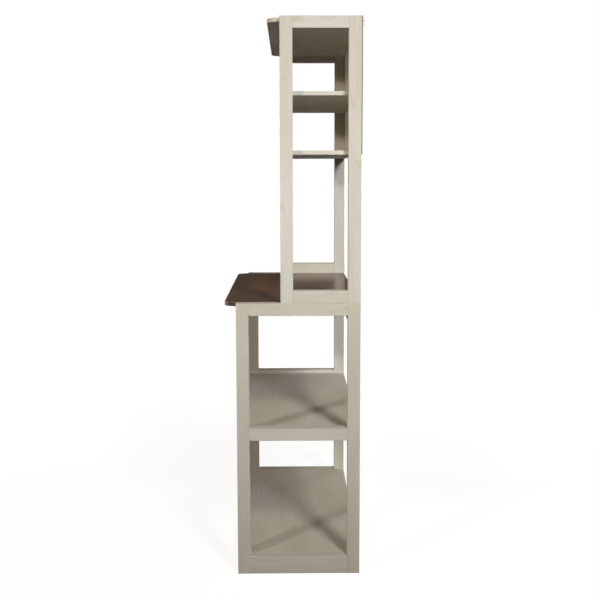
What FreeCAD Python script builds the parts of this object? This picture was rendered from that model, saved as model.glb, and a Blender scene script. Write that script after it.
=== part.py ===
import FreeCAD, Part
import Sketcher
import os

# A bakers rack in two stacked halves.  The base is two open side frames joined by a
# counter, two shelves and cross rails.  The hutch stands on the back of the base: two
# shallower side frames joined by a top board, a fixed shelf and a thin back, with one
# more shelf lying loose on four pins.
#
# Row frame: X across the rack, -Y the front, +Z up, origin under the middle of the
# rack's bounding box, on the floor.  Every length is in millimetres.

DIMENSIONS = {
    # overall
    "overall_width": 1067,
    "overall_height": 1829,
    "base_depth": 407,
    "hutch_depth": 261,
    "counter_height": 915,
    "counter_overhang": 41,
    "top_overhang": 41,
    # timber
    "post_size": 41,
    "board_thickness": 14,
    "base_top_rail_height": 41,
    "mid_rail_height": 41,
    "bottom_rail_height": 60,
    "hutch_bottom_rail_height": 41,
    "hutch_top_rail_height": 38,
    "mid_rail_bottom": 457,
    "mid_shelf_drop": 14,
    "counter_clear_height": 480,
    "shelf_clear_height": 175,
    "cross_rail_thickness": 20,
    "apron_height": 100,
    "lipping_width": 40,
    "corner_radius": 42,
    "timber_edge_round": 1,
    "board_edge_round": 2,
    # loose shelf and its pins
    "shelf_end_clearance": 1,
    "shelf_front_setback": 1,
    "pin_diameter": 5,
    "pin_hole_pitch": 32,
    "pin_hole_depth": 11,
    "pin_hole_play": 0.2,
    "pin_end_gap": 1,
    "pin_paddle_length": 8,
    "pin_paddle_width": 11,
    "pin_paddle_thickness": 2.5,
    # thin back
    "panel_thickness": 3,
    "panel_play": 0.5,
    "panel_side_inset": 2,
    "upper_panel_lift": 1,
    # glued dowels
    "dowel_diameter": 8,
    "dowel_length": 38,
    "dowel_in_post": 17,
    "dowel_hole_play": 0.1,
    "dowel_end_gap": 1,
    "dowel_edge_distance": 11,
    "seam_dowel_inset": 12,
    "cross_dowel_length": 28,
    "cross_dowel_in_post": 11,
    # cam fittings
    "cam_diameter": 15,
    "cam_bore_play": 0.2,
    "cam_setback": 24,
    "cam_skin": 2,
    "cam_end_gap": 0.3,
    "stud_diameter": 5,
    "stud_head_diameter": 6.4,
    "stud_head_length": 2,
    "stud_neck_diameter": 3.6,
    "stud_neck_length": 2.5,
    "cam_slot_depth": 1.4,
    "stud_thread_length": 10,
    "stud_bore_play": 1.4,
    "stud_rail_inset": 40,
    # flat seam plates
    "seam_plate_length": 76,
    "seam_plate_width": 16,
    "seam_plate_thickness": 1.5,
    "seam_plate_inset": 30,
    "seam_screw_near": 11,
    "seam_screw_far": 30,
    # wall brackets
    "bracket_width": 15,
    "bracket_height": 28,
    "bracket_thickness": 1.5,
    "bracket_stand_off": 5,
    "bracket_foot_height": 13,
    "bracket_inset": 14,
    "bracket_top_gap": 2,
    "bracket_bend_radius": 1,
    "strap_hole_diameter": 4.5,
    "strap_hole_rise": 7,
    # screws
    "screw_diameter": 3.5,
    "screw_head_diameter": 7,
    "screw_head_height": 2,
    "screw_length": 16,
    "screw_hole_play": 0.1,
    "screw_slot_depth": 1,
    "panel_screw_spread": 246,
    "panel_screw_inset": 30,
}

doc = FreeCAD.newDocument("BakersRack")
sheet = doc.addObject("Spreadsheet::Sheet", "Sizes")
for row, (alias, number) in enumerate(DIMENSIONS.items(), start=1):
    sheet.set(f"A{row}", alias)
    sheet.set(f"B{row}", str(number))
    sheet.setAlias(f"B{row}", alias)
doc.recompute()


class Size:
    """A length that is known both as a formula over the sheet and as a number."""

    def __init__(self, text, value):
        self.text = text
        self.value = value

    def _joined(self, sign, other, value):
        return Size(f"({self.text} {sign} {other.text})", value)

    def __add__(self, other):
        other = as_size(other)
        return self._joined("+", other, self.value + other.value)

    def __sub__(self, other):
        other = as_size(other)
        return self._joined("-", other, self.value - other.value)

    def __mul__(self, other):
        other = as_size(other)
        return self._joined("*", other, self.value * other.value)

    def __truediv__(self, other):
        other = as_size(other)
        return self._joined("/", other, self.value / other.value)

    def __neg__(self):
        return self * -1


def as_size(number):
    """Wrap a plain number, so that it can stand beside a Size."""
    return number if isinstance(number, Size) else Size(str(number), number)


def cell(alias):
    """The sheet's value called alias."""
    return Size(f"Sizes.{alias}", float(sheet.get(alias)))


# ---------------------------------------------------------------- places in the rack
width = cell("overall_width")
height = cell("overall_height")
base_depth = cell("base_depth")
post = cell("post_size")
board = cell("board_thickness")
panel = cell("panel_thickness")
plate_thickness = cell("seam_plate_thickness")
bracket_thickness = cell("bracket_thickness")
counter_top_z = cell("counter_height")

outer_x = width / 2
inner_x = outer_x - post
post_x = outer_x - post / 2

rear_hardware = panel + cell("bracket_stand_off") + bracket_thickness
total_depth = cell("counter_overhang") + base_depth + rear_hardware
counter_front_y = -total_depth / 2
front_y = counter_front_y + cell("counter_overhang")
rear_y = front_y + base_depth
hutch_front_y = rear_y - cell("hutch_depth")
top_front_y = hutch_front_y - cell("top_overhang")

counter_under_z = counter_top_z - board
base_rail_z = counter_top_z - cell("base_top_rail_height")
mid_rail_z = cell("mid_rail_bottom")
mid_rail_top_z = mid_rail_z + cell("mid_rail_height")
mid_shelf_top_z = mid_rail_top_z - cell("mid_shelf_drop")
bottom_shelf_top_z = cell("bottom_rail_height")
hutch_rail_top_z = counter_top_z + cell("hutch_bottom_rail_height")
top_rail_z = height - cell("hutch_top_rail_height")
fixed_shelf_z = counter_top_z + cell("counter_clear_height")
fixed_shelf_top_z = fixed_shelf_z + board
loose_shelf_z = fixed_shelf_top_z + cell("shelf_clear_height")
floor_z = as_size(0)

SIDES = {"right": 1, "left": -1}
PLANES = {"X": "YZ_Plane", "Y": "XZ_Plane", "Z": "XY_Plane"}
AXES = "XYZ"


# ------------------------------------------------------------------ building helpers
class Piece:
    """A Body together with the row-frame box that it fills."""

    def __init__(self, label, low, high):
        self.low = [as_size(number) for number in low]
        self.high = [as_size(number) for number in high]
        middle = [(a + b) / 2 for a, b in zip(self.low, self.high)]
        self.origin = [middle[0], middle[1], self.low[2]]
        self.extent = [b - a for a, b in zip(self.low, self.high)]
        self.body = doc.addObject("PartDesign::Body", label)
        self.body.Label = label
        for axis, place in zip("xyz", self.origin):
            self.body.setExpression(f"Placement.Base.{axis}", place.text)

    def face_height(self, face):
        """How far the named face lies from the piece's own origin, along its axis."""
        index = AXES.index(face[1])
        if face[1] == "Z":
            return self.extent[2] if face[0] == "+" else as_size(0)
        half = self.extent[index] / 2
        return half if face[0] == "+" else -half

    def local(self, spot, axis):
        """A row-frame spot as the two coordinates of a sketch across axis."""
        return [spot[i] - self.origin[i] for i in range(3) if AXES[i] != axis]


def sketch_on(body, name, axis, offset):
    """A sketch across axis, offset along it from the body's origin."""
    sketch = body.newObject("Sketcher::SketchObject", name)
    plane = next(f for f in body.Origin.OriginFeatures if f.Role == PLANES[axis])
    sketch.AttachmentSupport = [(plane, "")]
    sketch.MapMode = "FlatFace"
    along_normal = -offset if axis == "Y" else offset   # the XZ plane looks along -Y
    sketch.setExpression("AttachmentOffset.Base.z", along_normal.text)
    return sketch


def fix_point(sketch, geometry, point, spot):
    """Tie a sketch point to its two coordinates, measured from the sketch's origin."""
    for kind, coordinate in zip(("DistanceX", "DistanceY"), spot):
        index = sketch.addConstraint(
            Sketcher.Constraint(kind, -1, 1, geometry, point, coordinate.value))
        sketch.setExpression(f"Constraints[{index}]", coordinate.text)


def draw_outline(sketch, spots):
    """A closed outline of straight lines through spots."""
    corners = [FreeCAD.Vector(u.value, v.value, 0) for u, v in spots]
    count = len(corners)
    for i in range(count):
        sketch.addGeometry(Part.LineSegment(corners[i], corners[(i + 1) % count]), False)
    for i in range(count):
        sketch.addConstraint(Sketcher.Constraint("Coincident", i, 2, (i + 1) % count, 1))
    for i, spot in enumerate(spots):
        fix_point(sketch, i, 1, spot)


def draw_circles(sketch, spots, diameter):
    """Equal circles centred on spots."""
    for i, (u, v) in enumerate(spots):
        centre = FreeCAD.Vector(u.value, v.value, 0)
        circle = Part.Circle(centre, FreeCAD.Vector(0, 0, 1), diameter.value / 2)
        sketch.addGeometry(circle, False)
        index = sketch.addConstraint(Sketcher.Constraint("Diameter", i, diameter.value))
        sketch.setExpression(f"Constraints[{index}]", diameter.text)
        fix_point(sketch, i, 3, (u, v))


def draw_rectangle(sketch, low, high):
    """A rectangle between two opposite corners."""
    draw_outline(sketch, [low, (high[0], low[1]), high, (low[0], high[1])])


def pad(body, sketch, length, midplane=False):
    """Thicken a sketch into a solid."""
    feature = body.newObject("PartDesign::Pad", f"{sketch.Name}_pad")
    feature.Profile = sketch
    feature.setExpression("Length", length.text)
    if midplane:
        feature.SideType = "Symmetric"
    sketch.Visibility = False
    return feature


def pocket(piece, face, sketch, depth):
    """Sink a sketch that lies on a face into the piece."""
    feature = piece.body.newObject("PartDesign::Pocket", f"{sketch.Name}_pocket")
    feature.Profile = sketch
    feature.setExpression("Length", depth.text)
    feature.Reversed = (face[0] == "-") != (face[1] == "Y")
    sketch.Visibility = False
    doc.recompute()
    removed = feature.BaseFeature.Shape.Volume - feature.Shape.Volume
    if removed <= 0:
        raise RuntimeError(f"{feature.Name} cuts nothing out of {piece.body.Label}")


def bore(piece, face, spots, diameter, depth):
    """Blind round holes into a face, centred on row-frame spots."""
    name = f"{piece.body.Name}_bores"
    sketch = sketch_on(piece.body, name, face[1], piece.face_height(face))
    draw_circles(sketch, [piece.local(spot, face[1]) for spot in spots], diameter)
    pocket(piece, face, sketch, depth)


def round_edges(piece, radius, wanted):
    """Fillet the edges for which wanted(edge) is true."""
    doc.recompute()
    solid = piece.body.Tip
    names = [f"Edge{i}" for i, edge in enumerate(solid.Shape.Edges, start=1) if wanted(edge)]
    feature = piece.body.newObject("PartDesign::Fillet", f"{piece.body.Name}_round")
    feature.Base = (solid, names)
    feature.setExpression("Radius", radius.text)
    solid.Visibility = False
    doc.recompute()


def runs_along(axis):
    """A test for straight edges parallel to one axis."""
    index = AXES.index(axis)

    def test(edge):
        ends = [vertex.Point for vertex in edge.Vertexes]
        if len(ends) < 2:
            return False
        span = ends[1] - ends[0]
        return all(abs(span[i]) < 1e-6 for i in range(3) if i != index)

    return test


def block(label, low, high):
    """A plain rectangular piece between two row-frame corners."""
    piece = Piece(label, low, high)
    half_x, half_y = piece.extent[0] / 2, piece.extent[1] / 2
    sketch = sketch_on(piece.body, f"{label}_outline", "Z", as_size(0))
    draw_rectangle(sketch, (-half_x, -half_y), (half_x, half_y))
    pad(piece.body, sketch, piece.extent[2])
    return piece


def timber(label, low, high, grain):
    """A planed stick whose four long edges are eased."""
    piece = block(label, low, high)
    round_edges(piece, cell("timber_edge_round"), runs_along(grain))
    return piece


def shelf_board(label, low, high, rounded_front=False):
    """A flat board with eased edges, its two front corners rounded where they show."""
    piece = block(label, low, high)
    if rounded_front:
        def front_corner(edge):
            return runs_along("Z")(edge) and edge.CenterOfMass.y < 0
        round_edges(piece, cell("corner_radius"), front_corner)

    thickness = piece.extent[2].value

    def rim(edge):
        heights = [vertex.Point.z for vertex in edge.Vertexes]
        top = all(abs(z - thickness) < 1e-6 for z in heights)
        return top or all(abs(z) < 1e-6 for z in heights)

    round_edges(piece, cell("board_edge_round"), rim)
    return piece


def across(side, reach):
    """The X coordinate reach mm out from the middle, on one side of the rack."""
    return reach * side


def x_span(side, near, far):
    """Low and high X of a piece that lies between two distances from the middle."""
    ends = [across(side, near), across(side, far)]
    return ends if side > 0 else ends[::-1]


def inner_face(side):
    """The face of a side-frame piece that looks into the rack."""
    return "-X" if side > 0 else "+X"


def outer_face(side):
    """The end face of a cross piece that meets the side frame."""
    return "+X" if side > 0 else "-X"


# ------------------------------------------------------------------------ side frames
def frame_member(name, side, y_low, y_high, z_low, z_high, grain):
    """One stick of a side frame."""
    x_low, x_high = x_span(side, inner_x, outer_x)
    return timber(name, (x_low, y_low, z_low), (x_high, y_high, z_high), grain)


def side_frame(prefix, upright, side, y_front, z_span, rails):
    """Two uprights and the rails between them; rails maps a name to its low and high Z."""
    back_post_y = rear_y - post
    members = {
        "front": frame_member(f"{prefix}_front_{upright}", side,
                              y_front, y_front + post, *z_span, "Z"),
        "back": frame_member(f"{prefix}_back_{upright}", side,
                             back_post_y, rear_y, *z_span, "Z"),
    }
    for rail, (z_low, z_high) in rails.items():
        members[rail] = frame_member(f"{prefix}_{rail}_rail", side,
                                     y_front + post, back_post_y, z_low, z_high, "Y")
    return members


BASE_RAILS = {
    "top": (base_rail_z, counter_top_z),
    "mid": (mid_rail_z, mid_rail_top_z),
    "bottom": (floor_z, bottom_shelf_top_z),
}
HUTCH_RAILS = {
    "top": (top_rail_z, height),
    "bottom": (counter_top_z, hutch_rail_top_z),
}

base, hutch = {}, {}
for name, side in SIDES.items():
    base[side] = side_frame(f"base_{name}", "leg", side, front_y,
                            (floor_z, counter_top_z), BASE_RAILS)
    hutch[side] = side_frame(f"hutch_{name}", "post", side, hutch_front_y,
                             (counter_top_z, height), HUTCH_RAILS)


# ----------------------------------------------------------------------------- boards
def between_frames(label, y_low, y_high, z_low, rounded_front=False):
    """A board that fills the width between the side frames."""
    return shelf_board(label, (-inner_x, y_low, z_low), (inner_x, y_high, z_low + board),
                       rounded_front)


counter = between_frames("counter", counter_front_y, rear_y, counter_under_z, True)
mid_shelf = between_frames("mid_shelf", front_y, rear_y, mid_shelf_top_z - board)
bottom_shelf = between_frames("bottom_shelf", front_y, rear_y, bottom_shelf_top_z - board)
top_board = between_frames("top_board", top_front_y, rear_y, height - board, True)
fixed_shelf = between_frames("fixed_hutch_shelf", hutch_front_y, rear_y, fixed_shelf_z)

loose_reach = inner_x - cell("shelf_end_clearance")
loose_shelf = shelf_board(
    "loose_hutch_shelf",
    (-loose_reach, hutch_front_y + cell("shelf_front_setback"), loose_shelf_z),
    (loose_reach, rear_y - cell("shelf_end_clearance"), loose_shelf_z + board))


# -------------------------------------------------------- cross rails, lippings, back
def cross_rail(label, y_low, y_high, z_low, z_high):
    """A stick that runs from one side frame to the other."""
    return timber(label, (-inner_x, y_low, z_low), (inner_x, y_high, z_high), "X")


rail_thickness = cell("cross_rail_thickness")
apron_z = counter_under_z - cell("apron_height")
bottom_shelf_z = bottom_shelf_top_z - board
front_apron = cross_rail("front_apron", front_y, front_y + rail_thickness,
                         apron_z, counter_under_z)
back_apron = cross_rail("back_apron", rear_y - rail_thickness, rear_y,
                        apron_z, counter_under_z)
front_plinth = cross_rail("front_plinth", front_y, front_y + rail_thickness,
                          floor_z, bottom_shelf_z)
back_plinth = cross_rail("back_plinth", rear_y - rail_thickness, rear_y,
                         floor_z, bottom_shelf_z)

lipping_width = cell("lipping_width")
mid_shelf_z = mid_shelf_top_z - board
cross_rail("mid_shelf_front_lipping", front_y, front_y + lipping_width,
           mid_rail_z, mid_shelf_z)
cross_rail("mid_shelf_back_lipping", rear_y - lipping_width, rear_y,
           mid_rail_z, mid_shelf_z)

# The thin back closes the hutch from its fixed shelf up; the counter's bay stays open.
upper_reach = outer_x - cell("panel_side_inset")
upper_back = block("upper_back_panel",
                   (-upper_reach, rear_y, fixed_shelf_z + cell("upper_panel_lift")),
                   (upper_reach, rear_y + panel, height - cell("panel_play")))


# ------------------------------------------------------------------------- fasteners
Z_UP = FreeCAD.Vector(0, 0, 1)


def point(spot):
    """A row-frame spot as a vector."""
    return FreeCAD.Vector(*(as_size(number).value for number in spot))


def pointing(direction):
    """The rotation that turns +Z towards a direction and keeps +X level or upright."""
    along = FreeCAD.Vector(*direction)
    if abs(along.x) > 0:
        return FreeCAD.Rotation(Z_UP, along.cross(Z_UP), along, "ZXY")
    return FreeCAD.Rotation(Z_UP, along)


def group(label, master, placements):
    """Separate copies of one fastener, kept together under one name."""
    copies = []
    for spot, direction in placements:
        copy = master.copy()
        copy.Placement = FreeCAD.Placement(point(spot), pointing(direction))
        copies.append(copy)
    feature = doc.addObject("Part::Feature", label)
    feature.Label = label
    feature.Shape = Part.makeCompound(copies)
    return feature


def dowel_solid(length):
    """A beech dowel with chamfered ends, standing on the origin."""
    radius = cell("dowel_diameter").value / 2
    solid = Part.makeCylinder(radius, length.value)
    rims = [edge for edge in solid.Edges if isinstance(edge.Curve, Part.Circle)]
    return solid.makeChamfer(radius / 5, rims)


dowel_hole = cell("dowel_diameter") + cell("dowel_hole_play")
dowel_gap = cell("dowel_end_gap")
dowel_in_post = cell("dowel_in_post")
dowel_length = cell("dowel_length")
dowel_edge = cell("dowel_edge_distance")


def dowel_frame(members, side, y_front, rails):
    """Two dowels at each end of every rail of a frame; returns their placements."""
    placements = []
    joints = [("front", "+Y", "-Y", y_front + post, 1), ("back", "-Y", "+Y", rear_y - post, -1)]
    for upright, post_face, rail_face, joint_y, into_rail in joints:
        post_spots = []
        for rail, (z_low, z_high) in rails.items():
            spots = [(across(side, post_x), joint_y, z)
                     for z in (z_low + dowel_edge, z_high - dowel_edge)]
            bore(members[rail], rail_face, spots, dowel_hole,
                 dowel_length - dowel_in_post + dowel_gap)
            post_spots += spots
        bore(members[upright], post_face, post_spots, dowel_hole, dowel_in_post + dowel_gap)
        start_y = joint_y - dowel_in_post * into_rail
        placements += [((x, start_y, z), (0, into_rail, 0)) for x, _, z in post_spots]
    return placements


base_dowels, hutch_dowels = [], []
for side in SIDES.values():
    base_dowels += dowel_frame(base[side], side, front_y, BASE_RAILS)
    hutch_dowels += dowel_frame(hutch[side], side, hutch_front_y, HUTCH_RAILS)
frame_dowel = dowel_solid(dowel_length)
group("base_frame_dowels", frame_dowel, base_dowels)
group("hutch_frame_dowels", frame_dowel, hutch_dowels)

# Loose dowels locate the hutch on the base: two under each of its side frames.
seam_inset = cell("seam_dowel_inset")
seam_dowels = []
for side in SIDES.values():
    seats = [("front", "top", hutch_front_y + seam_inset), ("back", "back", rear_y - seam_inset)]
    for upright, seat, y in seats:
        spot = (across(side, post_x), y, counter_top_z)
        depth = dowel_length / 2 + dowel_gap
        bore(hutch[side][upright], "-Z", [spot], dowel_hole, depth)
        bore(base[side][seat], "+Z", [spot], dowel_hole, depth)
        seam_dowels.append(((spot[0], y, counter_top_z - dowel_length / 2), (0, 0, 1)))
group("seam_dowels", frame_dowel, seam_dowels)

# Cam fittings: a stud screwed into the side frame reaches into the end of a board or a
# cross rail, where a cam in a flat-bottomed bore pulls it tight.
stud_hole = cell("stud_diameter") + cell("stud_bore_play")
stud_thread = cell("stud_thread_length")
cam_setback = cell("cam_setback")
cam_depth = board - cell("cam_skin")
stud_depth = board / 2
cam_bore = cell("cam_diameter") + cell("cam_bore_play")
INWARD = {"-Z": (0, 0, 1), "+Y": (0, -1, 0), "-Y": (0, 1, 0)}
studs, cams = [], []


def cam_joint(piece, frame_piece, side, spot_yz, cam_face):
    """One cam fitting at the end of a cross piece; cam_face is the bored face."""
    y, z = spot_yz
    end = (across(side, inner_x), y, z)
    centre = (across(side, inner_x - cam_setback), y, z)
    bore(piece, outer_face(side), [end], stud_hole, cam_setback)
    bore(piece, cam_face, [centre], cam_bore, cam_depth)
    bore(frame_piece, inner_face(side), [end], cell("stud_diameter"), stud_thread)
    start_x = across(side, inner_x + stud_thread)
    studs.append(((start_x, y, z), (-side, 0, 0)))
    cams.append((centre, INWARD[cam_face]))


base_stud_y = [front_y + post + cell("stud_rail_inset"), rear_y - post - cell("stud_rail_inset")]
hutch_stud_y = [hutch_front_y + post + cell("stud_rail_inset"), base_stud_y[1]]
fixed_stud_y = [hutch_front_y + post / 2, rear_y - post / 2]
for side in SIDES.values():
    for y in base_stud_y:
        cam_joint(counter, base[side]["top"], side, (y, counter_under_z + stud_depth), "-Z")
        cam_joint(mid_shelf, base[side]["mid"], side, (y, mid_shelf_z + stud_depth), "-Z")
        cam_joint(bottom_shelf, base[side]["bottom"], side,
                  (y, bottom_shelf_z + stud_depth), "-Z")
    for y in hutch_stud_y:
        cam_joint(top_board, hutch[side]["top"], side, (y, height - board + stud_depth), "-Z")
    for y, upright in zip(fixed_stud_y, ("front", "back")):
        cam_joint(fixed_shelf, hutch[side][upright], side, (y, fixed_shelf_z + stud_depth), "-Z")

# Each apron and plinth has one cam fitting and, below it, one dowel at each end.
cross_dowel_length = cell("cross_dowel_length")
cross_in_post = cell("cross_dowel_in_post")
front_stud_y = front_y + rail_thickness - stud_depth
back_stud_y = rear_y - rail_thickness + stud_depth
apron_cam_z = (apron_z + counter_under_z) / 2
plinth_cam_z = bottom_shelf_z - dowel_edge
CROSS_RAILS = [
    (front_apron, "front", "+Y", front_stud_y, apron_cam_z),
    (back_apron, "back", "-Y", back_stud_y, apron_cam_z),
    (front_plinth, "front", "+Y", front_stud_y, plinth_cam_z),
    (back_plinth, "back", "-Y", back_stud_y, plinth_cam_z),
]
cross_dowels = []
for side in SIDES.values():
    for rail, upright, cam_face, y, cam_z in CROSS_RAILS:
        cam_joint(rail, base[side][upright], side, (y, cam_z), cam_face)
        spot = (across(side, inner_x), y, rail.low[2] + dowel_edge)
        bore(rail, outer_face(side), [spot], dowel_hole,
             cross_dowel_length - cross_in_post + dowel_gap)
        bore(base[side][upright], inner_face(side), [spot], dowel_hole,
             cross_in_post + dowel_gap)
        start = (across(side, inner_x + cross_in_post), spot[1], spot[2])
        cross_dowels.append((start, (-side, 0, 0)))
group("cross_rail_dowels", dowel_solid(cross_dowel_length), cross_dowels)


def stud_solid():
    """A turned steel stud: thread, shank, neck and head, from its threaded tip up."""
    shank = cell("stud_diameter").value / 2
    head = cell("stud_head_diameter").value / 2
    neck = cell("stud_neck_diameter").value / 2
    reach = stud_thread.value + cam_setback.value
    neck_start = reach - cell("stud_neck_length").value
    top = reach + cell("stud_head_length").value
    profile = [
        (0, 0), (neck, 0), (shank, shank - neck), (shank, neck_start), (neck, neck_start),
        (neck, reach), (head, reach), (head, top), (0, top),
    ]
    points = [FreeCAD.Vector(x, 0, z) for x, z in profile]
    face = Part.Face(Part.makePolygon(points + points[:1]))
    return face.revolve(FreeCAD.Vector(), Z_UP, 360)


def cross_slot(span, slot_width, depth, z_low):
    """Two crossed bars that cut a cross-head recess."""
    bars = [Part.makeBox(a, b, depth, FreeCAD.Vector(-a / 2, -b / 2, z_low))
            for a, b in ((span, slot_width), (slot_width, span))]
    return bars[0].fuse(bars[1])


def cam_solid():
    """A die-cast cam: a drum with a side mouth for the stud's head and a cross slot."""
    radius = cell("cam_diameter").value / 2
    gap = cell("cam_end_gap").value
    low = gap - stud_depth.value
    high = cam_depth.value - stud_depth.value - gap
    drum = Part.makeCylinder(radius, high - low, FreeCAD.Vector(0, 0, low))
    mouth = (cell("stud_head_diameter") + cell("stud_bore_play")).value
    throat = Part.makeBox(2 * radius, mouth, mouth,
                          FreeCAD.Vector(-radius, -mouth / 2, -mouth / 2))
    recess = cell("cam_slot_depth").value
    return drum.cut(throat).cut(cross_slot(radius, recess, recess, low))


group("cam_studs", stud_solid(), studs)
group("cam_locks", cam_solid(), cams)


# --------------------------------------------------------------------- shelf pins
pin_diameter = cell("pin_diameter")
pin_z = loose_shelf_z - pin_diameter / 2
pin_pitch = cell("pin_hole_pitch")
pins = []
for side in SIDES.values():
    for upright, y in zip(("front", "back"), fixed_stud_y):
        hole_spots = [(across(side, inner_x), y, z)
                      for z in (pin_z - pin_pitch, pin_z, pin_z + pin_pitch)]
        bore(hutch[side][upright], inner_face(side), hole_spots,
             pin_diameter + cell("pin_hole_play"), cell("pin_hole_depth"))
        pins.append(((across(side, inner_x), y, pin_z), (-side, 0, 0)))


def pin_solid():
    """A steel shelf pin: a round shank and a flat paddle that the shelf lies on.

    The shank points down from the origin and the paddle up, and the bearing face looks
    along +X, which each pin's placement turns upright.
    """
    radius = pin_diameter.value / 2
    shank_length = (cell("pin_hole_depth") - cell("pin_end_gap")).value
    length = cell("pin_paddle_length").value
    breadth = cell("pin_paddle_width").value
    thickness = cell("pin_paddle_thickness").value
    shank = Part.makeCylinder(radius, shank_length, FreeCAD.Vector(0, 0, -shank_length))
    paddle = Part.makeBox(thickness, breadth, length,
                          FreeCAD.Vector(radius - thickness, -breadth / 2, 0))
    return shank.fuse(paddle).removeSplitter()


group("shelf_pins", pin_solid(), pins)


# ---------------------------------------------------------------------------- screws
BACKWARD = (0, 1, 0)
COLUMN_SHARES = (0, 0.37, 0.8)  # of the way down from the top row to the shelf's row
screw_hole = cell("screw_diameter") + cell("screw_hole_play")
screw_length = cell("screw_length")


def screw_solid():
    """A pointed shank below the origin and a domed, cross-slotted head above it."""
    shank = cell("screw_diameter").value / 2
    head = cell("screw_head_diameter").value / 2
    head_height = cell("screw_head_height").value
    slot = cell("screw_slot_depth").value
    point_length = 2 * shank
    body_length = screw_length.value - point_length
    stem = Part.makeCylinder(shank, body_length, FreeCAD.Vector(0, 0, -body_length))
    tip = Part.makeCone(0, shank, point_length, FreeCAD.Vector(0, 0, -screw_length.value))
    cap = Part.makeCylinder(head, head_height)
    rim = [edge for edge in cap.Edges if abs(edge.CenterOfMass.z - head_height) < 1e-6]
    cap = cap.makeFillet(head_height / 2, rim)
    cap = cap.cut(cross_slot(head, slot, slot, head_height - slot))
    return stem.fuse([tip, cap]).removeSplitter()


screw = screw_solid()

# The back is screwed to the posts, to the top board and to the fixed shelf.
upper_rear_y = rear_y + panel
screw_x = outer_x - cell("panel_screw_inset")
row_z = {"shelf": fixed_shelf_z + board / 2, "top": height - board / 2}
row_gap = row_z["top"] - row_z["shelf"]
column_z = [row_z["top"] - row_gap * share for share in COLUMN_SHARES]
spread = cell("panel_screw_spread")
row_x = [spread * -1.5, spread * -0.5, spread * 0.5, spread * 1.5]

panel_screws = [(across(side, screw_x), upper_rear_y, z)
                for side in SIDES.values() for z in column_z]
for z in row_z.values():
    panel_screws += [(x, upper_rear_y, z) for x in row_x]
bore(upper_back, "+Y", panel_screws, screw_hole, panel)
for board_behind, row in ((top_board, "top"), (fixed_shelf, "shelf")):
    bore(board_behind, "+Y", [(x, rear_y, row_z[row]) for x in row_x], screw_hole,
         screw_length - panel)
for side in SIDES.values():
    bore(hutch[side]["back"], "+Y", [(across(side, screw_x), rear_y, z) for z in column_z],
         screw_hole, screw_length - panel)
group("upper_back_screws", screw, [(spot, BACKWARD) for spot in panel_screws])


# ---------------------------------------------------------------- rear metal fittings
def seam_plate(name, side):
    """A flat plate across the seam between base and hutch; returns its screw spots."""
    centre_x = across(side, outer_x - cell("seam_plate_inset"))
    half_width = cell("seam_plate_width") / 2
    half_length = cell("seam_plate_length") / 2
    plate = block(f"seam_plate_{name}",
                  (centre_x - half_width, rear_y, counter_top_z - half_length),
                  (centre_x + half_width, rear_y + plate_thickness,
                   counter_top_z + half_length))
    round_edges(plate, half_width / 2, runs_along("Y"))
    near, far = cell("seam_screw_near"), cell("seam_screw_far")
    spots = [(centre_x, rear_y + plate_thickness, counter_top_z + rise)
             for rise in (-far, -near, near, far)]
    bore(plate, "+Y", spots, screw_hole, plate_thickness)
    depth = screw_length - plate_thickness
    bore(base[side]["back"], "+Y", spots_on_post(spots[:2]), screw_hole, depth)
    bore(hutch[side]["back"], "+Y", spots_on_post(spots[2:]), screw_hole, depth)
    return spots


def spots_on_post(spots):
    """The same spots, moved in to the posts' rear face."""
    return [(x, rear_y, z) for x, _, z in spots]


def wall_bracket(name, side):
    """A joggled steel tab behind the top of a back post; returns its screw spot.

    Its foot is screwed through the upper back into the post and its lower end stands
    off, with a hole for a wall strap.
    """
    centre_x = across(side, outer_x - cell("bracket_inset"))
    half_width = cell("bracket_width") / 2
    stand_off = cell("bracket_stand_off")
    foot = cell("bracket_foot_height")
    high_z = height - cell("bracket_top_gap")
    low_z = high_z - cell("bracket_height")
    label = f"wall_bracket_{name}"
    piece = Piece(label, (centre_x - half_width, upper_rear_y, low_z),
                  (centre_x + half_width, upper_rear_y + stand_off + bracket_thickness, high_z))
    sketch = sketch_on(piece.body, f"{label}_profile", "X", as_size(0))
    step_z = high_z - foot
    outline = [
        (upper_rear_y, high_z), (upper_rear_y, step_z),
        (upper_rear_y + stand_off, step_z), (upper_rear_y + stand_off, low_z),
        (upper_rear_y + stand_off + bracket_thickness, low_z),
        (upper_rear_y + stand_off + bracket_thickness, step_z + bracket_thickness),
        (upper_rear_y + bracket_thickness, step_z + bracket_thickness),
        (upper_rear_y + bracket_thickness, high_z),
    ]
    draw_outline(sketch, [piece.local((centre_x, y, z), "X") for y, z in outline])
    pad(piece.body, sketch, cell("bracket_width"), midplane=True)

    def outer_bend(edge):
        spot = edge.CenterOfMass
        heights = [(step_z - piece.origin[2]).value,
                   (step_z + bracket_thickness - piece.origin[2]).value]
        inside = abs(abs(spot.y) - piece.extent[1].value / 2) < 1e-6
        return runs_along("X")(edge) and inside and min(abs(spot.z - h) for h in heights) < 1e-6

    round_edges(piece, cell("bracket_bend_radius"), outer_bend)
    screw_spot = (centre_x, upper_rear_y + bracket_thickness,
                  (high_z + step_z + bracket_thickness) / 2)
    bore(piece, "+Y", [screw_spot], screw_hole, stand_off + bracket_thickness * 2)
    strap_spot = (centre_x, upper_rear_y, low_z + cell("strap_hole_rise"))
    bore(piece, "+Y", [strap_spot], cell("strap_hole_diameter"), bracket_thickness * 2)
    bore(upper_back, "+Y", [screw_spot], screw_hole, panel)
    bore(hutch[side]["back"], "+Y", spots_on_post([screw_spot]), screw_hole,
         screw_length - panel - bracket_thickness)
    return screw_spot


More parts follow.
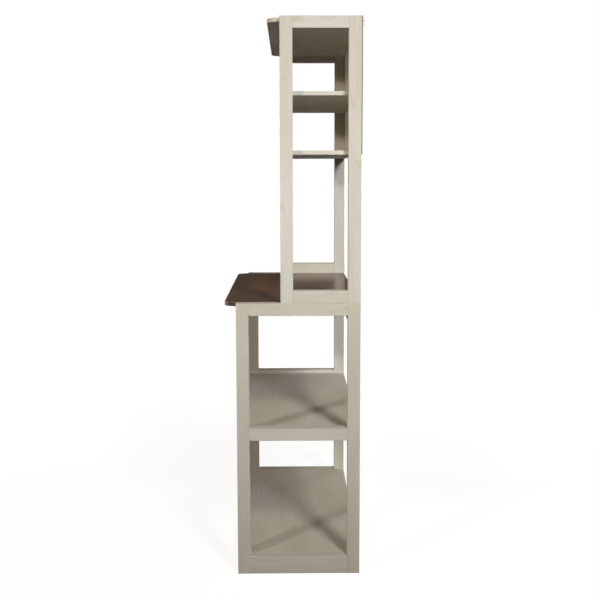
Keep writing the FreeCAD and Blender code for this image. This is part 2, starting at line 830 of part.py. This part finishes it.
plate_screws, bracket_screws = [], []
for name, side in SIDES.items():
    plate_screws += [(spot, BACKWARD) for spot in seam_plate(name, side)]
    bracket_screws.append((wall_bracket(name, side), BACKWARD))
group("seam_plate_screws", screw, plate_screws)
group("wall_bracket_screws", screw, bracket_screws)


# --------------------------------------------------------------------- check, export
doc.recompute()
sub_parts = [item for item in doc.Objects
             if item.isDerivedFrom("PartDesign::Body") or item.TypeId == "Part::Feature"]
for item in doc.Objects:
    if "Invalid" in item.State or "Error" in item.State:
        raise RuntimeError(f"{item.Name}: {item.State}")
for item in sub_parts:
    if item.Shape.isNull() or not item.Shape.isValid():
        raise RuntimeError(f"{item.Label} has no sound shape")

os.makedirs("parts", exist_ok=True)
for item in sub_parts:
    item.Shape.exportStep(os.path.join("parts", f"{item.Label}.step"))
print(f"{len(sub_parts)} sub-parts")
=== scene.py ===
# %% [markdown]
# # Dressing a bakers rack
# A bakers rack is a tall open shelf for a kitchen: a deep base with a worktop, and a
# shallower hutch that stands on its back half.  The joinery is already modelled as a
# frame of separate boards and posts.  This lesson gives every one of them a finish,
# sets up the studio, and places the camera.
#
# The frame comes in first.

# %% Load the joinery
import math
import bpy
from mathutils import Matrix, Vector

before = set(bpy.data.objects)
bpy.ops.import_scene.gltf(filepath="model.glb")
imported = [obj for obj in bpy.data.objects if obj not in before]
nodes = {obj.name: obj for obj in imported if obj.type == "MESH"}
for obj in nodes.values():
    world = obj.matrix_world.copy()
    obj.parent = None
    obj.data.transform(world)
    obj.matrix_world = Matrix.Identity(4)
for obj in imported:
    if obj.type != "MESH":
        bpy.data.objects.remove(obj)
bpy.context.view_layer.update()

# %% [markdown]
# ## The camera
# The rack is seen from its right-hand end, a little above the worktop and a little over
# three metres away, as a shopper would stand beside it.  A lens of about 62 mm on a
# 36 mm film keeps the side frame's posts nearly parallel.
#
# A camera could be pointed with a Track To constraint, but that leaves no room for the
# last fraction of a degree of roll.  So the camera's own axes are written out as a
# matrix: its third axis points backwards, away from what it sees.

# %% Camera
FILM_WIDTH = 36.0  # millimetres
PICTURE_PIXELS = 600
FOCAL_PIXELS = 1029.611
CAMERA_PLACE = Vector((3.857702, -0.011655, 1.337740))
CAMERA_YAW = 0.01000397  # radians, as are the next two
CAMERA_PITCH = -0.1230541
CAMERA_ROLL = -0.001979449


def camera_axes(yaw, pitch, roll):
    """Right, up and forward for a camera that looks along -X, then yaws, pitches, rolls."""
    forward = Vector((-math.cos(yaw) * math.cos(pitch), math.sin(yaw) * math.cos(pitch),
                      math.sin(pitch)))
    right = Vector((math.sin(yaw), math.cos(yaw), 0.0))
    up = right.cross(forward)
    rolled_right = right * math.cos(roll) + up * math.sin(roll)
    rolled_up = up * math.cos(roll) - right * math.sin(roll)
    return rolled_right, rolled_up, forward


lens = bpy.data.cameras.new("side_camera")
lens.sensor_width = FILM_WIDTH
lens.lens = FILM_WIDTH * FOCAL_PIXELS / PICTURE_PIXELS
camera = bpy.data.objects.new("side_camera", lens)
bpy.context.collection.objects.link(camera)
right, up, forward = camera_axes(CAMERA_YAW, CAMERA_PITCH, CAMERA_ROLL)
turn = Matrix((right, up, -forward)).transposed()
camera.matrix_world = Matrix.Translation(CAMERA_PLACE) @ turn.to_4x4()
bpy.context.scene.camera = camera
print("lens:", round(lens.lens, 2), "mm at", [round(n, 3) for n in CAMERA_PLACE])

# %% [markdown]
# ## A helper for finishes
# Every finish here is a small tree of shader nodes.  Building a tree by hand takes
# three lines a node, so this class keeps it to one: it adds a node, fills its inputs,
# and links an input wherever another node's output is handed in.

# %% Finish helper
class Finish:
    """A material that is put together one node at a time."""

    def __init__(self, name, **surface):
        self.material = bpy.data.materials.new(name)
        self.material.use_nodes = True
        self.tree = self.material.node_tree
        self.surface = self.tree.nodes["Principled BSDF"]
        self.set(self.surface, {key.replace("_", " "): value
                                for key, value in surface.items()})

    def set(self, node, inputs):
        """Fill a node's inputs with numbers, or link them to other nodes' outputs."""
        for key, value in inputs.items():
            if isinstance(value, bpy.types.NodeSocket):
                self.tree.links.new(value, node.inputs[key])
            else:
                node.inputs[key].default_value = value

    def add(self, kind, inputs=None, **settings):
        """Add a node, with its settings and its inputs."""
        node = self.tree.nodes.new("ShaderNode" + kind)
        for key, value in settings.items():
            setattr(node, key, value)
        self.set(node, inputs or {})
        return node

    def math(self, operation, first, second=0.0):
        """One sum on two numbers, such as ADD or MULTIPLY."""
        return self.add("Math", {0: first, 1: second}, operation=operation).outputs[0]

    def remap(self, value, low, high, new_low=0.0, new_high=1.0, smooth=False):
        """Stretch a range of numbers onto another one."""
        style = "SMOOTHSTEP" if smooth else "LINEAR"
        node = self.add("MapRange", {"Value": value, "From Min": low, "From Max": high,
                                     "To Min": new_low, "To Max": new_high},
                        interpolation_type=style)
        return node.outputs["Result"]

    def noise(self, where, scale, detail=3.0, roughness=0.5, distortion=0.0):
        """Cloudy noise between 0 and 1, with about scale clouds to the metre."""
        node = self.add("TexNoise", {"Vector": where, "Scale": scale, "Detail": detail,
                                     "Roughness": roughness, "Distortion": distortion})
        return node.outputs["Fac"]

    def mix(self, factor, first, second):
        """Mix two colours; a factor of 0 gives the first."""
        node = self.add("Mix", {"Factor": factor}, data_type="RGBA")
        for name, value in (("A", first), ("B", second)):
            socket = next(s for s in node.inputs if s.name == name and s.type == "RGBA")
            if isinstance(value, bpy.types.NodeSocket):
                self.tree.links.new(value, socket)
            else:
                socket.default_value = (*value, 1.0)
        return next(s for s in node.outputs if s.type == "RGBA")

    def lay(self, colour, mark, share, pigment):
        """Lay a pigment over a colour where a mark is, as strongly as its share says."""
        return self.mix(self.math("MULTIPLY", mark, share), colour, pigment)

    def shade(self, colour, amount):
        """Multiply a colour by a number."""
        node = self.add("VectorMath", {0: colour, "Scale": amount}, operation="SCALE")
        return node.outputs["Vector"]

    def relief(self, height, depth, strength):
        """Turn a height between 0 and 1 into bumps that are depth metres high."""
        node = self.add("Bump", {"Height": height, "Distance": depth,
                                 "Strength": strength})
        self.set(self.surface, {"Normal": node.outputs["Normal"]})

    def show(self, shader):
        """Wire another shader to the surface instead of the usual one."""
        self.tree.nodes.remove(self.surface)
        self.tree.links.new(shader.outputs[0],
                            self.tree.nodes["Material Output"].inputs["Surface"])


print("finish helper ready")

# %% [markdown]
# ## Where the grain runs
# Wood grain follows the length of a stick: up a post, front to back along a side rail,
# and from end to end of a board.  Each piece could be unwrapped to lie along its own
# grain, but one pattern serves all of them when its space is squeezed along the grain,
# so that each speck becomes a long streak.  Each piece also gets its own random shift,
# because two boards are never cut from the same place.

# %% Grain space
SHIFT = 7.0  # metres between one piece's patch of grain and another's


def grain_space(finish, along, squeeze):
    """Object space, shifted for each piece and squeezed along X, Y or Z."""
    place = finish.add("TexCoord").outputs["Object"]
    luck = finish.add("ObjectInfo").outputs["Random"]
    shift = finish.math("MULTIPLY", luck, SHIFT)
    moved = finish.add("VectorMath", {0: place, 1: shift}, operation="ADD")
    scale = [squeeze if axis == along else 1.0 for axis in "XYZ"]
    node = finish.add("Mapping", {"Vector": moved.outputs["Vector"], "Scale": scale})
    return node.outputs["Vector"]


print("grain runs along X, Y or Z")

# %% [markdown]
# ## Worn edges
# A finish is thinnest, or darkest, along an edge.  The edges could be picked out by
# hand and painted, but the Bevel node finds them on every piece: it gives the normal
# that a rounded edge would have, and where that leans away from the true one, an edge
# is near.

# %% Edge wear
BEVEL_SAMPLES = 6


def edge_wear(finish, radius, lean):
    """Near 1 on an edge and 0 on a flat, from how far a rounded normal leans."""
    soft = finish.add("Bevel", {"Radius": radius}, samples=BEVEL_SAMPLES)
    true = finish.add("NewGeometry").outputs["True Normal"]
    agree = finish.add("VectorMath", {0: soft.outputs["Normal"], 1: true},
                       operation="DOT_PRODUCT")
    return finish.remap(agree.outputs["Value"], 1.0, 1.0 - lean)


print("edges found with", BEVEL_SAMPLES, "samples")

# %% [markdown]
# ## The wash's colour
# The timber is painted an off-white that is thinned and wiped, so the brush leaves fine
# streaks along the grain.  Under it the wood still shows a little: long faint veins,
# and soft olive smudges where a knot lies.
#
# One picture of painted wood, wrapped round every piece, would repeat from board to
# board and stretch on the long ones.  Layers of noise don't.  The colour is mixed from
# the broadest drift of tone to the smallest mark, as a row of the table gives each.

# %% Wash colour
WASH_PALE = (0.705, 0.683, 0.640)
WASH_WARM = (0.640, 0.602, 0.532)
VEIN_BROWN = (0.360, 0.290, 0.215)
SMUDGE_OLIVE = (0.300, 0.255, 0.185)
VEIN_SHARE, SMUDGE_SHARE, SPECK_SHARE = 0.26, 0.30, 0.30
WASH_SQUEEZE = {"fine": 0.035, "long": 0.09, "knot": 0.30}  # along the grain
WASH_MARKS = {
    # space, then the noise's scale, detail, roughness and distortion, then the values
    # between which the mark fades in
    "drift": ("knot", 7.0, 2.0, 0.50, 0.0, 0.35, 0.68),
    "veins": ("long", 95.0, 4.0, 0.55, 0.6, 0.58, 0.76),
    "patches": ("knot", 16.0, 2.0, 0.50, 0.0, 0.45, 0.65),
    "smudges": ("knot", 24.0, 3.0, 0.55, 0.8, 0.60, 0.80),
    "specks": ("knot", 85.0, 3.0, 0.60, 0.3, 0.70, 0.82),
}
BRUSH_NOISE = (330.0, 5.0, 0.62)  # scale, detail, roughness
BRUSH_SHADE = (0.25, 0.75, 0.92, 1.06)  # the streaks' range, and their shade at its ends


def wash_colour(finish, along):
    """The painted colour, its brush streaks and its veins, with the grain along an axis."""
    space = {name: grain_space(finish, along, squeeze)
             for name, squeeze in WASH_SQUEEZE.items()}
    streaks = finish.noise(space["fine"], *BRUSH_NOISE)
    mark = {}
    for name, (where, *noise, low, high) in WASH_MARKS.items():
        mark[name] = finish.remap(finish.noise(space[where], *noise), low, high,
                                  smooth=True)

    colour = finish.mix(mark["drift"], WASH_PALE, WASH_WARM)
    colour = finish.shade(colour, finish.remap(streaks, *BRUSH_SHADE))
    veined = finish.math("MULTIPLY", mark["veins"], mark["patches"])
    colour = finish.lay(colour, veined, VEIN_SHARE, VEIN_BROWN)
    colour = finish.lay(colour, mark["smudges"], SMUDGE_SHARE, SMUDGE_OLIVE)
    colour = finish.lay(colour, mark["specks"], SPECK_SHARE, SMUDGE_OLIVE)
    return colour, streaks, mark["veins"]


print("marks in the wash:", list(WASH_MARKS))

# %% [markdown]
# ## The wash on the wood
# The brush that leaves the streaks also makes the gloss and the relief, so the same
# noise drives all three, and colour and light agree.  Separate noises would be as easy,
# but the shine would then slide over the streaks.  Corners are rubbed thinner than the
# flats, in short stretches.  Three materials come out, one for each way the grain runs.

# %% White wash
RUBBED_EDGE = (0.500, 0.440, 0.360)
RUBBED_RADIUS, RUBBED_LEAN = 0.0022, 0.25  # metres, and how far the normal has to turn
RUBBED_SHARE = (0.35, 0.65, 0.10, 0.50)  # the streaks' range, and the wear at its ends
WASH_GLOSS = (0.2, 0.8, 0.66, 0.54)  # the streaks' range, and the roughness at its ends
WASH_SPECULAR = 0.12
VEIN_DEPTH = 0.35  # as a share of a streak's height
WASH_RELIEF = (0.00035, 0.55)  # metres, strength


def white_wash(along):
    """The wash on a piece whose grain runs along X, Y or Z."""
    finish = Finish(f"white_wash_grain_{along.lower()}",
                    Specular_IOR_Level=WASH_SPECULAR)
    colour, streaks, veins = wash_colour(finish, along)
    rubbed = finish.math("MULTIPLY", edge_wear(finish, RUBBED_RADIUS, RUBBED_LEAN),
                         finish.remap(streaks, *RUBBED_SHARE))
    finish.set(finish.surface, {
        "Base Color": finish.mix(rubbed, colour, RUBBED_EDGE),
        "Roughness": finish.remap(streaks, *WASH_GLOSS),
    })
    height = finish.math("SUBTRACT", streaks,
                         finish.math("MULTIPLY", veins, VEIN_DEPTH))
    finish.relief(height, *WASH_RELIEF)
    return finish.material


wash = {axis: white_wash(axis) for axis in "XYZ"}
print("white wash made for grain along", sorted(wash))

# %% [markdown]
# ## Dark walnut worktop
# Only the worktop is stained.  Walnut has long, wandering bands of lighter and darker
# brown, a reddish glow where the stain took less, and short dark pores.  A Wave texture
# would draw bands that are too even, so noise that is stretched along the board draws
# them.  The satin lacquer on top gives soft, nearly even reflections.  The stain
# gathers on the rounded edge and soaks into the ends, which are nearly black.

# %% Walnut
WALNUT_DARK = (0.076, 0.043, 0.024)
WALNUT_MID = (0.130, 0.072, 0.040)
WALNUT_RED = (0.215, 0.096, 0.046)
PORE_BLACK = (0.018, 0.011, 0.007)
WALNUT_GRAIN, WALNUT_BROAD = 0.07, 0.28  # squeeze along the grain
BAND_NOISE, BAND_RANGE = (34.0, 5.0, 0.55, 0.7), (0.30, 0.70)
GLOW_NOISE, GLOW_RANGE = (9.0, 2.0, 0.50, 0.5), (0.44, 0.66)
PORE_NOISE, PORE_RANGE = (430.0, 2.0, 0.50), (0.60, 0.72)
GLOW_SHARE, PORE_SHARE, EDGE_SHARE = 0.60, 0.50, 0.85
STAINED_RADIUS, STAINED_LEAN = 0.004, 0.30
END_GRAIN = 0.7  # a normal whose X is over this looks out of a board's end
LACQUER_GLOSS = (0.3, 0.7, 0.25, 0.27)
LACQUER_SPECULAR = 0.45
LACQUER_RELIEF = (0.00002, 0.05)


def walnut_stain():
    """Dark walnut under a satin lacquer, with the grain along X."""
    finish = Finish("walnut_stain", Specular_IOR_Level=LACQUER_SPECULAR)
    grain = grain_space(finish, "X", WALNUT_GRAIN)
    broad = grain_space(finish, "X", WALNUT_BROAD)
    bands = finish.noise(grain, *BAND_NOISE)
    glow = finish.remap(finish.noise(broad, *GLOW_NOISE), *GLOW_RANGE, smooth=True)
    pores = finish.remap(finish.noise(grain, *PORE_NOISE), *PORE_RANGE)
    colour = finish.mix(finish.remap(bands, *BAND_RANGE, smooth=True), WALNUT_DARK,
                        WALNUT_MID)
    colour = finish.lay(colour, glow, GLOW_SHARE, WALNUT_RED)
    colour = finish.lay(colour, pores, PORE_SHARE, PORE_BLACK)
    sides = finish.add("SeparateXYZ", {
        "Vector": finish.add("TexCoord").outputs["Normal"]}).outputs["X"]
    end = finish.math("GREATER_THAN", finish.math("ABSOLUTE", sides), END_GRAIN)
    edge = finish.math("MAXIMUM", edge_wear(finish, STAINED_RADIUS, STAINED_LEAN), end)
    finish.set(finish.surface, {
        "Base Color": finish.lay(colour, edge, EDGE_SHARE, PORE_BLACK),
        "Roughness": finish.remap(bands, *LACQUER_GLOSS),
    })
    finish.relief(pores, *LACQUER_RELIEF)
    return finish.material


walnut = walnut_stain()
print("walnut stain made")

# %% [markdown]
# ## Thin back
# The hutch's back is 3 mm hardboard.  Its front is painted like the frame, but the rear
# face and the sawn edges stay raw: a reddish brown felt of pressed fibres.  The board
# could carry two materials, handed out face by face.  It is one piece, though, so one
# finish picks its colour by the way each face looks.

# %% Hardboard
FIBRE_BROWN = (0.330, 0.195, 0.125)
FIBRE_DARK = (0.190, 0.105, 0.065)
FIBRE_NOISE, FIBRE_RANGE = (900.0, 4.0, 0.7, 1.0), (0.3, 0.7)
STAIN_NOISE = (11.0, 3.0, 0.55)
STAIN_SHADE = (0.3, 0.7, 0.86, 1.10)
FACES_FRONT = -0.5  # a normal whose Y is under this looks forward
RAW_ROUGH, PAINTED_ROUGH = 0.82, 0.60
BACK_RELIEF = (0.00025, 0.5)


def hardboard_back():
    """Hardboard that is painted on its front face and raw on the others."""
    finish = Finish("hardboard_back", Specular_IOR_Level=WASH_SPECULAR)
    paint, streaks, _ = wash_colour(finish, "Z")
    place = finish.add("TexCoord")
    fibres = finish.noise(place.outputs["Object"], *FIBRE_NOISE)
    stain = finish.noise(place.outputs["Object"], *STAIN_NOISE)
    raw = finish.mix(finish.remap(fibres, *FIBRE_RANGE), FIBRE_DARK, FIBRE_BROWN)
    raw = finish.shade(raw, finish.remap(stain, *STAIN_SHADE))
    sides = finish.add("SeparateXYZ", {"Vector": place.outputs["Normal"]})
    painted = finish.math("LESS_THAN", sides.outputs["Y"], FACES_FRONT)
    finish.set(finish.surface, {
        "Base Color": finish.mix(painted, raw, paint),
        "Roughness": finish.remap(painted, 0.0, 1.0, RAW_ROUGH, PAINTED_ROUGH),
    })
    finish.relief(finish.mix(painted, fibres, streaks), *BACK_RELIEF)
    return finish.material


hardboard = hardboard_back()
print("hardboard made")

# %% [markdown]
# ## Metal fittings
# The brackets, plates, pins and screws are zinc-plated steel, bright but brushed by
# handling.  The cam discs are cast zinc, duller and grainier.  One even metal would look
# like a toy's, so fine specks break up the shine and slow clouds dull the colour.

# %% Metal
SPECK_NOISE = (3.0, 0.65)  # detail, roughness; each metal has its own scale
CLOUD_NOISE, CLOUD_RANGE = (60.0, 2.0), (0.35, 0.65)
SPECK_GLOSS = 0.22  # how much rougher a speck makes the metal
METAL_RELIEF = (0.00006, 0.4)


def zinc(name, bright, dull, rough, specks_a_metre):
    """A metal whose shine is broken by fine specks and slow clouds."""
    finish = Finish(name, Metallic=1.0)
    place = finish.add("TexCoord").outputs["Object"]
    specks = finish.noise(place, specks_a_metre, *SPECK_NOISE)
    clouds = finish.noise(place, *CLOUD_NOISE)
    finish.set(finish.surface, {
        "Base Color": finish.mix(finish.remap(clouds, *CLOUD_RANGE), bright, dull),
        "Roughness": finish.math("ADD", rough,
                                 finish.math("MULTIPLY", specks, SPECK_GLOSS)),
    })
    finish.relief(specks, *METAL_RELIEF)
    return finish.material


plated = zinc("plated_steel", bright=(0.62, 0.61, 0.57), dull=(0.46, 0.45, 0.40),
              rough=0.22, specks_a_metre=1400.0)
cast = zinc("cast_zinc", bright=(0.48, 0.49, 0.50), dull=(0.36, 0.37, 0.38),
            rough=0.38, specks_a_metre=2200.0)
print("metals made:", plated.name, cast.name)

# %% [markdown]
# ## Dowels
# The glued dowels are plain beech, turned from straight-grained sticks.  They hide in
# their joints, and one brown would do for them.  They get their rings all the same,
# because the rack may be shown taken apart.

# %% Beech
BEECH_PALE = (0.60, 0.42, 0.25)
BEECH_DARK = (0.42, 0.27, 0.15)
BEECH_IOR = 1.45
BEECH_SQUEEZE = 0.08
RING_NOISE = (600.0, 4.0, 0.6)
RING_GLOSS = (0.3, 0.7, 0.60, 0.75)
RING_RELIEF = (0.0002, 0.4)


def beech_dowel():
    """Plain beech with a straight grain."""
    finish = Finish("beech_dowel", IOR=BEECH_IOR)
    rings = finish.noise(grain_space(finish, "Z", BEECH_SQUEEZE), *RING_NOISE)
    finish.set(finish.surface, {
        "Base Color": finish.mix(rings, BEECH_PALE, BEECH_DARK),
        "Roughness": finish.remap(rings, *RING_GLOSS),
    })
    finish.relief(rings, *RING_RELIEF)
    return finish.material


beech = beech_dowel()
print("dowel finish made:", beech.name)

# %% [markdown]
# ## Hand out the finishes
# A name says what each piece is, and with it which way its grain runs.  A list of all
# 45 names would do, but a few endings say the same.  What has none of the endings is a
# small steel fitting.

# %% Finish every piece
GRAIN_UP = ("_leg", "_post")
GRAIN_BACK = ("_rail",)
GRAIN_ACROSS = ("_shelf", "_board", "_apron", "_plinth", "_lipping")


def finish_for(name):
    """The finish of a piece of joinery, chosen by its name."""
    if name == "counter":
        return walnut
    if name.endswith("_back_panel"):
        return hardboard
    if name.endswith("_dowels"):
        return beech
    if name == "cam_locks":
        return cast
    for endings, axis in ((GRAIN_UP, "Z"), (GRAIN_BACK, "Y"), (GRAIN_ACROSS, "X")):
        if name.endswith(endings):
            return wash[axis]
    return plated


for name, piece in nodes.items():
    for place in piece.material_slots:
        place.material = finish_for(name)
print("finishes in use:", sorted({finish_for(name).name for name in nodes}))

# %% [markdown]
# ## The studio
# Three soft boxes do the modelling.  Two of them hang one above the other behind the
# camera's right shoulder, where together they make one tall window of light that rakes
# past the back posts, golden at its top and cool below.  A third, smaller and weaker,
# stands further round to the front.  The window and the third box each cast a soft
# shadow of the nearest posts over the shelves, and the shadows cross.  Sun lamps would
# be simpler, but their light is as strong at the feet as at the top.  A grid on each
# box keeps its light near its axis, so the rack's top is brighter than its feet.
#
# Three quieter boxes stand round the other sides, so that the front, the back and the
# far end are plainly lit as well.

# %% Soft boxes
RACK_END = Vector((0.5335, 0.0, 0.0))
BACK_CORNER = Vector((0.5335, 0.22, 0.0))
RACK_MIDDLE = Vector((0.0, 0.0, 0.0))
GOLDEN, AMBER, WARM = (1.0, 0.93, 0.64), (1.0, 0.86, 0.62), (1.0, 0.88, 0.70)
COOL, ROSY = (0.84, 0.93, 1.0), (1.0, 0.88, 0.78)
SOFT_BOXES = [
    # name, foot, angle, distance, height, aim height, size, spread, watts, colour
    ("high_box", BACK_CORNER, 20, 5.0, 4.5, 1.2, 1.0, 60, 11.7, GOLDEN),
    ("low_box", BACK_CORNER, 18, 6.0, 3.5, 1.45, 1.0, 38, 10.0, COOL),
    ("side_box", RACK_END, -40, 6.0, 3.2, 1.35, 0.5, 40, 8.6, ROSY),
    ("front_box", RACK_MIDDLE, -98, 5.0, 1.5, 1.0, 1.2, 90, 7.5, AMBER),
    ("far_box", RACK_MIDDLE, 140, 10.0, 1.3, 1.1, 2.0, 60, 30.0, WARM),
    ("back_box", RACK_MIDDLE, 90, 5.0, 1.7, 1.1, 1.2, 120, 10.0, WARM),
]


def soft_box(name, foot, angle, distance, height, aim_height, size, spread, watts,
             colour):
    """A square lamp, angle degrees round a point on the floor from the X axis."""
    lamp = bpy.data.lights.new(name, "AREA")
    lamp.shape = "SQUARE"
    lamp.size = size
    lamp.spread = math.radians(spread)
    lamp.energy = watts
    lamp.color = colour
    box = bpy.data.objects.new(name, lamp)
    bpy.context.collection.objects.link(box)
    turn = math.radians(angle)
    box.location = foot + Vector((distance * math.cos(turn),
                                  distance * math.sin(turn), height))
    aim = foot + Vector((0.0, 0.0, aim_height)) - box.location
    box.rotation_euler = aim.to_track_quat("-Z", "Y").to_euler()
    return box


boxes = [soft_box(*row) for row in SOFT_BOXES]
print("soft boxes at", [tuple(round(n, 2) for n in box.location) for box in boxes])

# %% [markdown]
# ## Background
# The background is plain white to the camera, and a shiny or clear surface sees the
# same white, so the metal fittings have something to mirror.  A white world would also
# pour light on the rack from everywhere and wash out its shadows.  So, as a source of
# light, it is only a faint, warm fill, and the Light Path node tells the two apart.

# %% Background
FILL_COLOUR = (1.0, 0.50, 0.25, 1.0)
FILL_STRENGTH = 0.03
WHITE = (1.0, 1.0, 1.0, 1.0)

world = bpy.data.worlds.new("studio")
bpy.context.scene.world = world
world.use_nodes = True
sky = world.node_tree


def sky_node(kind, **settings):
    """Add a node to the world's tree."""
    node = sky.nodes.new("ShaderNode" + kind)
    for key, value in settings.items():
        setattr(node, key, value)
    return node


ray = sky_node("LightPath").outputs
seen = ray["Is Camera Ray"]
for kind in ("Is Glossy Ray", "Is Transmission Ray"):
    either = sky_node("Math", operation="MAXIMUM")
    sky.links.new(seen, either.inputs[0])
    sky.links.new(ray[kind], either.inputs[1])
    seen = either.outputs[0]
fill = sky.nodes["Background"]
fill.inputs["Color"].default_value = FILL_COLOUR
fill.inputs["Strength"].default_value = FILL_STRENGTH
white = sky_node("Background")
white.inputs["Color"].default_value = WHITE
choice = sky_node("MixShader")
sky.links.new(seen, choice.inputs[0])
sky.links.new(fill.outputs[0], choice.inputs[1])
sky.links.new(white.outputs[0], choice.inputs[2])
sky.links.new(choice.outputs[0], sky.nodes["World Output"].inputs["Surface"])
print("background ready, fill", FILL_STRENGTH)

# %% [markdown]
# ## Floor
# The floor is built the same way: pale to the eye, with a trace of the rack's shadow,
# and a quiet, warm reflector for the light that bounces up under the shelves.  A plain
# white floor would send up too much of it.  The floor's glow rises to the full white of
# the background a few metres away, so no horizon shows.

# %% Floor
FLOOR_HALF = 30.0
GLOW_NEAR, GLOW_FAR = 0.90, 1.0
FADE_FROM, FADE_TO = 0.5, 3.0  # metres from the rack's middle
FLOOR_PALE = (0.25, 0.25, 0.25, 1.0)
FLOOR_BOUNCE = (0.04, 0.022, 0.010, 1.0)


def stage_sheet(name, corners, finish):
    """One flat face that belongs to the studio and not to the rack."""
    mesh = bpy.data.meshes.new(name)
    mesh.from_pydata(corners, [], [(0, 1, 2, 3)])
    mesh.materials.append(finish.material)
    sheet = bpy.data.objects.new(name, mesh)
    bpy.context.collection.objects.link(sheet)
    return sheet


paving = Finish("studio_floor")
path = paving.add("LightPath").outputs
looked_at = paving.math("MAXIMUM", path["Is Camera Ray"],
                        paving.math("MAXIMUM", path["Is Glossy Ray"],
                                    path["Is Transmission Ray"]))
spot = paving.add("TexCoord").outputs["Object"]
away = paving.add("VectorMath", {0: spot}, operation="LENGTH").outputs["Value"]
glow = paving.add("Emission", {
    "Strength": paving.remap(away, FADE_FROM, FADE_TO, GLOW_NEAR, GLOW_FAR, True)})
pale = paving.add("BsdfDiffuse", {"Color": FLOOR_PALE})
bounce = paving.add("BsdfDiffuse", {"Color": FLOOR_BOUNCE})
seen_floor = paving.add("AddShader", {0: glow.outputs[0], 1: pale.outputs[0]})
paving.show(paving.add("MixShader", {0: looked_at, 1: bounce.outputs[0],
                                     2: seen_floor.outputs[0]}))
floor = stage_sheet("floor", [(-FLOOR_HALF, -FLOOR_HALF, 0.0),
                              (FLOOR_HALF, -FLOOR_HALF, 0.0),
                              (FLOOR_HALF, FLOOR_HALF, 0.0),
                              (-FLOOR_HALF, FLOOR_HALF, 0.0)], paving)
print("floor ready,", 2 * FLOOR_HALF, "m across")

# %% [markdown]
# ## A dim sheet for a painted reflection
# Seen at a low angle, lacquered wood mirrors whatever stands behind it, and in an
# all-white studio the worktop would turn white.  The lacquer could be made duller, but
# then it would no longer look like lacquer.  So a sheet that glows a faint dark grey
# stands past the far end, out of sight of the camera and of the lamps, and only shiny
# surfaces see it.  Its grey is a painted reflection: the worktop mirrors the far posts
# on dark and keeps its brown.

# %% Painted reflection sheet
CARD_AT = -2.0  # metres along X
CARD_HALF = 1.1
CARD_LOW, CARD_HIGH = 0.7, 2.1
# painted reflection: the dark grey that the worktop mirrors, glowing from the sheet
PAINTED_REFLECTION_GREY = (0.055, 0.045, 0.036, 1.0)

reflection_paint = Finish("painted_reflection_glow")
# the sheet is no lit surface; it glows with the painted reflection's grey
reflection_paint.show(reflection_paint.add("Emission", {"Color": PAINTED_REFLECTION_GREY}))
reflection_sheet = stage_sheet("glare_card", [(CARD_AT, -CARD_HALF, CARD_LOW),
                                  (CARD_AT, CARD_HALF, CARD_LOW),
                                  (CARD_AT, CARD_HALF, CARD_HIGH),
                                  (CARD_AT, -CARD_HALF, CARD_HIGH)], reflection_paint)
for kind in ("camera", "diffuse", "transmission", "volume_scatter", "shadow"):
    setattr(reflection_sheet, "visible_" + kind, False)
print("card stands at", CARD_AT)

# %% [markdown]
# ## Colour as it is
# The Standard view shows each colour as it was mixed, with no film curve over it.

# %% Finish
bpy.context.scene.view_settings.view_transform = "Standard"
